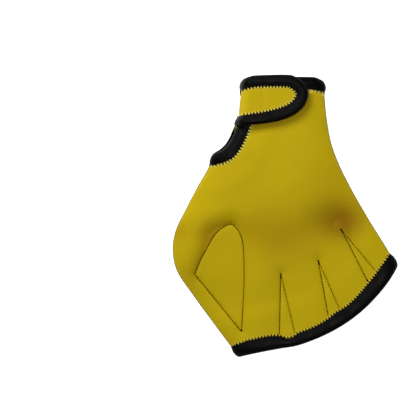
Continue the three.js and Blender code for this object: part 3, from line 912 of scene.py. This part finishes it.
TAPES = {
    "finger_back": tape(BACK, MOUTH_PATH[::-1], FINGER_TAPE_WIDTH, (-1, 1), finger_tape_extra, FINGER_PUFFS),
    "finger_palm": tape(PALM, MOUTH_PATH[::-1], FINGER_TAPE_WIDTH, (-1, 1)),
    "back": tape(BACK, BACK_EDGE_PATH, EDGE_TAPE_WIDTH, (1, -1), back_tape_extra, BACK_PUFFS),
    "palm_wrist": tape(PALM, WRIST_PATH, EDGE_TAPE_WIDTH, (1, -1)),
    "palm_notch": tape(PALM, PALM_NOTCH_PATH, EDGE_TAPE_WIDTH, (1, 1)),
    "strap": tape(STRAP, STRAP_PATH, STRAP_TAPE_WIDTH, (1, 1), strap_tape_extra),
}


def beside_last_crossing(tape, moved, inset):
    """Where a line that doesn't reach the side seam ends: square across from the end of the edge itself."""
    place = crossings(tape["path"], side_line(tape["sides"][1], 0))[-1][0]
    number = int(round(place))
    goal = shifted(tape["path"], inset)[number]
    return int(np.hypot(*(moved - goal).T).argmin())


def tape_line(tape, inset, grow):
    """The line at a distance in from a taped edge, and whether its last point is on a side seam."""
    moved = offset_path(tape["path"], inset)
    start = crossings(moved, side_line(tape["sides"][0], grow))[0][0]
    ends = [place for place, _ in crossings(moved, side_line(tape["sides"][1], grow)) if place > start + 2]
    last = ends[-1] if ends else beside_last_crossing(tape, moved, inset)
    return resample(stretch(moved, start, last), TAPE_LINE_STEP), bool(ends)


def tape_plan(tape, inset, grow, shares, tooth=0.0):
    """Places along a line of a tape; tooth is how far its scallops reach over the cloth."""
    line, on_seam = tape_line(tape, inset, grow)
    row = at_lengths(line, shares * lengths_along(line)[-1])
    length = tape_length(tape)
    from_end = np.minimum(shares, 1 - shares) * length
    across = inset - tape["width"]
    if abs(across) < SQUARE_REACH:
        middle = at_lengths(border_line(tape), shares * length)
        beside = shifted(middle, across)
        squared = ease((from_end - SQUARE_START) / SQUARE_START_BLEND)
        squared *= ease((SQUARE_REACH - abs(across)) / SQUARE_BLEND)
        row += (beside - row) * squared[:, None]
    wider = tape["extra"](row) * np.clip(inset / tape["width"], 0, 1)
    scallop = np.cos(shares * length * 2 * math.pi / STITCH_PITCH)
    wider = wider + tooth * scallop * ease(from_end / SCALLOP_START_BLEND)
    return shifted(row, wider[:, None]), on_seam


def border_line(tape):
    """The line that the tape's scallops follow."""
    if "border" not in tape:
        tape["border"] = tape_line(tape, tape["width"], 0)[0]
    return tape["border"]


def tape_length(tape):
    return lengths_along(border_line(tape))[-1]


def tape_row(tape, inset, grow, shares, tooth=0.0):
    plan, on_seam = tape_plan(tape, inset, grow, shares, tooth)
    u, v = patch_place(plan, grow)
    for end, fixed in ((0, True), (-1, on_seam)):
        if fixed and shares[end] in (0, 1):
            u[end] = round(u[end])
    return layer_surface(tape["layer"], grow, u, v)


def tape_rows(tape, profile, shares):
    """Points of each line of the section along a tape, from side seam to side seam."""
    return np.array([tape_row(tape, inset, grow, shares, tooth) for inset, grow, tooth in profile])


def tape_border(tape):
    """The scallops' middle line on the cloth, the length along it, and how strongly the cloth puffs there."""
    count = int(tape_length(tape) / SCALLOP_STEP)
    shares = np.linspace(0, 1, count + 1)
    return tape_plan(tape, tape["width"], 0, shares)[0], shares * tape_length(tape), tape["puffs"]


def strip_faces(rows, columns, looped):
    faces = []
    for i in range(rows):
        here = i * columns
        after = (i + 1) % rows * columns
        for j in range(columns if looped else columns - 1):
            beside = (j + 1) % columns
            faces.append((here + j, here + beside, after + beside, after + j))
    if not looped:
        faces.append(tuple(i * columns for i in range(rows)))
        faces.append(tuple(i * columns + columns - 1 for i in reversed(range(rows))))
    return faces


def tape_shares(tape, reach):
    return end_shares(tape_length(tape), TAPE_STEP, min(reach, tape_length(tape) / 4))


def make_tape(name, tape, replaces):
    shares = tape_shares(tape, tape["layer"]["rounding"])
    crown = 1.0 if tape["layer"]["sign"] > 0 else PALM_CROWN
    rows = tape_rows(tape, tape_profile(tape["width"], TAPE_INSIDE, crown), shares)
    faces = strip_faces(len(rows), len(shares), False)
    if tape["layer"]["sign"] > 0:
        faces = [face[::-1] for face in faces]
    obj = make_object(name, rows.reshape(-1, 3), faces, BLACK_TAPE, replaces)
    tape_length(tape)


def make_finger_tape():
    """The tape round the whole mouth for the fingers, over the back and under the palm."""
    upper, lower = TAPES["finger_back"], TAPES["finger_palm"]
    shares = tape_shares(upper, PALM_ROUNDING * 2)
    above = tape_rows(upper, tape_profile(FINGER_TAPE_WIDTH, FINGER_TAPE_INSIDE), shares)
    below = tape_rows(lower, tape_profile(FINGER_TAPE_WIDTH, FINGER_TAPE_INSIDE, PALM_CROWN), shares)
    above[:, [0, -1]] = (above[:, [0, -1]] + below[:, [0, -1]]) / 2
    rows = np.concatenate([above, below[:, -2:0:-1]], axis=1)
    faces = [face[::-1] for face in strip_faces(rows.shape[0], rows.shape[1], True)]
    vertices = rows.reshape(-1, 3)
    obj = make_object("finger_tape", vertices, faces, BLACK_TAPE, ("finger_binding",))
    tape_length(upper)
    tape_length(lower)


# Threads

def tube(points, radius):
    """A round thread along points, closed at both ends."""
    tangent = np.gradient(points, axis=0)
    tangent /= np.linalg.norm(tangent, axis=1)[:, None]
    across = np.cross(tangent, (0.0, 0.0, 1.0)) + (1e-6, 0, 0)
    across /= np.linalg.norm(across, axis=1)[:, None]
    upward = np.cross(across, tangent)
    turn = np.arange(THREAD_SIDES) * 2 * math.pi / THREAD_SIDES
    ring = np.cos(turn)[None, :, None] * across[:, None] + np.sin(turn)[None, :, None] * upward[:, None]
    vertices = (points[:, None] + ring * radius).reshape(-1, 3)
    last = (len(points) - 1) * THREAD_SIDES
    faces = [(a, d, c, b) for a, b, c, d in strip_faces(len(points), THREAD_SIDES, True)[:last]]
    faces.append(tuple(range(THREAD_SIDES)))
    faces.append(tuple(last + j for j in reversed(range(THREAD_SIDES))))
    return vertices, faces


def make_threads(name, tubes, material):
    vertices = []
    faces = []
    count = 0
    for points, radius in tubes:
        made, made_faces = tube(points, radius)
        vertices.append(made)
        faces.extend(tuple(index + count for index in face) for face in made_faces)
        count += len(made)
    make_object(name, np.vstack(vertices), faces, material)


def stitched(line, stitch):
    """The stretches of a line that each stitch covers."""
    length, gap = stitch
    total = lengths_along(line)[-1]
    starts = np.arange(FIRST_STITCH, total - length, length + gap)
    return [at_lengths(line, first + np.linspace(0, length, 5)) for first in starts]


def on_cloth(layer, plans, depth):
    """The same lines, laid into the panel's seams to a share of their depth."""
    plan = np.vstack(plans)
    u, v = patch_place(plan, 0)
    place = layer_surface(layer, 0, u, v)
    place[:, 2] -= layer["sign"] * seam_relief(plan, SEAM_LINES, 1.0) * depth
    ends = np.cumsum([len(line) for line in plans])[:-1]
    return np.split(place, ends)


def make_seam_threads(name, layer):
    """The panel's stitches, and knots at the tips of its webs, at the last web's foot and at the thumb's."""
    plans = []
    for line, dotted in SEAMS:
        plans += stitched(line, DOTTED_STITCH if dotted else SOLID_STITCH)
    knots = []
    for tip, foot, _ in WEB_CORNERS:
        along = (foot - tip) / np.hypot(*(foot - tip))
        knots.append(tip + along * np.linspace(-KNOT_PAST, KNOT_LENGTH, 6)[:, None])
    knots.append(foot + along * np.linspace(-KNOT_LENGTH * 0.6, KNOT_PAST, 5)[:, None])
    knots.append(at_lengths(THUMB_WEB_PATH, np.linspace(0, KNOT_LENGTH * 0.7, 5)))
    tubes = [(line, SEAM_THREAD_RADIUS) for line in on_cloth(layer, plans, SEAM_THREAD_DEPTH)]
    tubes += [(line, KNOT_RADIUS) for line in on_cloth(layer, knots, KNOT_DEPTH)]
    make_threads(name, tubes, THREAD)


def make_side_threads():
    """The thread that joins the panels, which shows as a dark line along both sides."""
    tubes = []
    back_start = crossings(BACK_EDGE_PATH, LEFT_SIDE)[0][1]
    wrist_start = crossings(WRIST_PATH, RIGHT_SIDE)[-1][1]
    for outward, first in ((1, back_start), (-1, wrist_start)):
        last = crossings(MOUTH_PATH, side_line(outward, 0))[0 if outward > 0 else -1][1]
        v = np.linspace(first, last, SIDE_THREAD_POINTS) / SIDE_SAMPLES
        u = np.full(len(v), 0.0 if outward > 0 else 1.0)
        line = layer_surface(BACK, 0.0, u, v)
        line[:, 2] -= CLEARANCE / 2
        tubes.append((line, SIDE_THREAD_RADIUS))
    make_threads("side_threads", tubes, THREAD)


def zigzag(tape):
    """One thread to and fro over the tape's inner edge."""
    length = tape_length(tape)
    count = int(length / STITCH_PITCH) - 1
    tip = (np.arange(count) + 1) * STITCH_PITCH / length
    step = STITCH_PITCH / length
    rows = [tape_row(tape, tape["width"] + out, height, tip + step * share) for out, height, share in ZIGZAG]
    line = np.stack(rows, axis=1).reshape(-1, 3)
    return line[:-1]


def make_stitches():
    tubes = [(zigzag(tape), STITCH_RADIUS) for tape in TAPES.values()]
    make_threads("tape_stitches", tubes, BLACK_THREAD)


def make_fastener():
    """Hook and loop patches, pressed together between the strap and the back."""
    middle = plan_points([FASTENER_CENTRE])[0]
    half = np.array([FASTENER_LENGTH, FASTENER_WIDTH]) / 2
    turn = np.linspace(0, 2 * math.pi, FASTENER_POINTS + 1)[:-1]
    circle = np.stack([np.cos(turn), np.sin(turn)], axis=1)
    form = half * np.sign(circle) * np.abs(circle) ** FASTENER_SQUARENESS
    rows = []
    for share, height in FASTENER_RINGS:
        plan = middle + form * share
        u, v = patch_place(plan, 0)
        rows.append(layer_surface(BACK, CLEARANCE + height * FASTENER_THICKNESS, u, v))
        rows[-1][:, :2] = plan
    count = len(turn)
    last = (len(rows) - 1) * count
    faces = strip_faces(len(rows), count, True)[:last]
    faces.append(tuple(reversed(range(count))))
    faces.append(tuple(last + j for j in range(count)))
    obj = make_object("fastener", np.vstack(rows), faces, HOOK, ("strap_fastener",))


# Materials

def new_material(name):
    material = bpy.data.materials.new(name)
    material.use_nodes = True
    nodes = material.node_tree.nodes
    return material, nodes, material.node_tree.links, nodes["Principled BSDF"]


def set_inputs(node, values):
    for key, value in values.items():
        node.inputs[key].default_value = value


def add_node(nodes, kind, inputs=(), **settings):
    node = nodes.new(kind)
    for key, value in settings.items():
        setattr(node, key, value)
    set_inputs(node, dict(inputs))
    return node


def colour_mix(nodes, links, first, second, factor):
    mix = add_node(nodes, "ShaderNodeMix", data_type="RGBA")
    for socket, colour in ((mix.inputs[6], first), (mix.inputs[7], second)):
        if isinstance(colour, tuple):
            socket.default_value = (*colour, 1)
        else:
            links.new(colour, socket)
    links.new(factor, mix.inputs[0])
    return mix.outputs[2]


def noise_between(nodes, links, noise, low, high):
    """A noise's usual values, spread between two numbers."""
    ends = {"From Min": 0.3, "From Max": 0.7, "To Min": low, "To Max": high}
    node = add_node(nodes, "ShaderNodeMapRange", ends)
    links.new(noise, node.inputs["Value"])
    return node.outputs["Result"]


def add_bump(nodes, links, height, strength, shader):
    bump = add_node(nodes, "ShaderNodeBump", {"Strength": strength, "Distance": BUMP_DISTANCE})
    links.new(height, bump.inputs["Height"])
    links.new(bump.outputs["Normal"], shader.inputs["Normal"])


def neoprene_material():
    """Yellow jersey laminated on foam rubber: soft sheen, fine knit, faint cloudiness."""
    material, nodes, links, shader = new_material("yellow_neoprene")
    place = add_node(nodes, "ShaderNodeTexCoord").outputs["Object"]
    clouds = add_node(nodes, "ShaderNodeTexNoise", {"Scale": 38.0, "Detail": 3.0, "Roughness": 0.55})
    knit = add_node(nodes, "ShaderNodeTexNoise", {"Scale": 2600.0, "Detail": 2.0, "Roughness": 0.6})
    ribs = add_node(nodes, "ShaderNodeTexWave", {"Scale": 620.0, "Distortion": 1.5, "Detail": 1.0})
    for node in (clouds, knit, ribs):
        links.new(place, node.inputs["Vector"])
    tint = colour_mix(nodes, links, DARK_YELLOW, LIGHT_YELLOW, clouds.outputs["Fac"])
    fibre = noise_between(nodes, links, knit.outputs["Fac"], 0.0, 0.22)
    colour = colour_mix(nodes, links, tint, FIBRE_SHADE, fibre)
    # Painted shade, then paler paint for stretched cloth and painted highlights between the tapes' stitches
    for name, shade in (("painted_shade", PAINTED_SHADE_COLOUR), ("pull_and_highlight", PULLED_PALE_AND_HIGHLIGHT)):
        amount = add_node(nodes, "ShaderNodeAttribute", attribute_name=name)
        colour = colour_mix(nodes, links, colour, shade, amount.outputs["Fac"])
    links.new(colour, shader.inputs["Base Color"])
    height = add_node(nodes, "ShaderNodeMath", operation="ADD")
    links.new(knit.outputs["Fac"], height.inputs[0])
    links.new(ribs.outputs["Fac"], height.inputs[1])
    add_bump(nodes, links, height.outputs[0], 0.16, shader)
    rough = noise_between(nodes, links, clouds.outputs["Fac"], 0.62, 0.74)
    links.new(rough, shader.inputs["Roughness"])
    set_inputs(shader, {"Specular IOR Level": 0.07, "Sheen Weight": 0.01})
    set_inputs(shader, {"Sheen Roughness": 0.5, "Sheen Tint": (1.0, 0.9, 0.35, 1)})
    return material


def tape_material(name, dark, light, scale):
    """Black nylon tape or thread: fine weave, slight sheen on its crown."""
    material, nodes, links, shader = new_material(name)
    place = add_node(nodes, "ShaderNodeTexCoord").outputs["Object"]
    weave = add_node(nodes, "ShaderNodeTexNoise", {"Scale": scale, "Detail": 2.0, "Roughness": 0.6})
    fuzz = add_node(nodes, "ShaderNodeTexNoise", {"Scale": scale / 14, "Detail": 2.0})
    links.new(place, weave.inputs["Vector"])
    links.new(place, fuzz.inputs["Vector"])
    colour = colour_mix(nodes, links, dark, light, fuzz.outputs["Fac"])
    links.new(colour, shader.inputs["Base Color"])
    add_bump(nodes, links, weave.outputs["Fac"], 0.3, shader)
    rough = noise_between(nodes, links, fuzz.outputs["Fac"], 0.42, 0.6)
    links.new(rough, shader.inputs["Roughness"])
    set_inputs(shader, {"Specular IOR Level": 0.07})
    return material


YELLOW = neoprene_material()
BLACK_TAPE = tape_material("black_tape", (0.0008, 0.0008, 0.0007), (0.0028, 0.0027, 0.0028), 1800.0)
THREAD = tape_material("seam_thread", (0.014, 0.007, 0.001), (0.026, 0.014, 0.002), 3000.0)
BLACK_THREAD = tape_material("black_thread", (0.004, 0.004, 0.003), (0.009, 0.008, 0.007), 3000.0)
HOOK = tape_material("hook_tape", (0.006, 0.006, 0.006), (0.016, 0.016, 0.017), 1200.0)


# Pieces

def make_panels():
    side_paths = [resample(LEFT_SIDE, CLOTH_STEP), resample(RIGHT_SIDE, CLOTH_STEP)]
    borders = {name: tape_border(one) for name, one in TAPES.items()}
    on_back = [borders["finger_back"], borders["back"]]
    on_palm = [borders["finger_palm"], borders["palm_wrist"], borders["palm_notch"]]
    cloth_shell("back", BACK, back_outline(), side_paths, SEAM_LINES, 1.0, on_back, ("back_panel",))
    cloth_shell("palm", PALM, palm_outline(), side_paths, SEAM_LINES, 1.0, on_palm, ("palm_panel",))
    fold = side_paths[:1]
    seam = [STRAP_SEAM]
    on_strap = [borders["strap"]]
    cloth_shell("strap", STRAP, strap_outline(), fold, seam, STRAP_LINE_DEPTH, on_strap, ("wrist_strap",))


def make_tapes():
    make_finger_tape()
    for name in ("back", "palm_wrist", "palm_notch", "strap"):
        make_tape(f"{name}_tape", TAPES[name], (f"{name}_binding",))


def make_all_threads():
    make_seam_threads("back_threads", BACK)
    make_seam_threads("palm_threads", PALM)
    make_side_threads()
    make_stitches()


# Camera, light and floor

def make_camera():
    data = bpy.data.cameras.new("camera")
    data.sensor_width = SENSOR
    data.lens = SENSOR * (CAMERA_HEIGHT - FIELD_HEIGHT) / FIELD
    camera = add_object("camera", data)
    camera.location = (*CAMERA_PLACE, CAMERA_HEIGHT)
    bpy.context.scene.camera = camera


def make_light(name, place, size, power, colour):
    """An area light turned to the glove."""
    data = bpy.data.lights.new(name, "AREA")
    data.size = size
    data.energy = power
    data.color = colour
    light = add_object(name, data)
    light.location = place
    direction = np.array(LIGHT_TARGET) - np.array(place)
    yaw = math.atan2(direction[1], direction[0])
    pitch = math.atan2(math.hypot(direction[0], direction[1]), -direction[2])
    light.rotation_euler = (pitch, 0, yaw - math.pi / 2)


def make_floor():
    mesh = bpy.data.meshes.new("floor")
    corners = [(x * FLOOR_HALF, y * FLOOR_HALF, 0) for x, y in ((-1, -1), (1, -1), (1, 1), (-1, 1))]
    mesh.from_pydata(corners, [], [(0, 1, 2, 3)])
    material, _, _, shader = new_material("pale_floor")
    set_inputs(shader, {"Base Color": (0.6, 0.6, 0.6, 1), "Roughness": 0.9})
    set_inputs(shader, {"Emission Color": (1, 1, 1, 1), "Emission Strength": 1.0})
    mesh.materials.append(material)
    add_object("floor", mesh)


def make_studio():
    for light in LIGHTS:
        make_light(*light)
    world = bpy.data.worlds.new("studio")
    world.use_nodes = True
    set_inputs(world.node_tree.nodes["Background"], {"Color": (1, 1, 1, 1), "Strength": WORLD_STRENGTH})
    bpy.context.scene.world = world
    bpy.context.scene.view_settings.view_transform = "Standard"


make_camera()
make_floor()
make_studio()
make_panels()
make_tapes()
make_all_threads()
make_fastener()
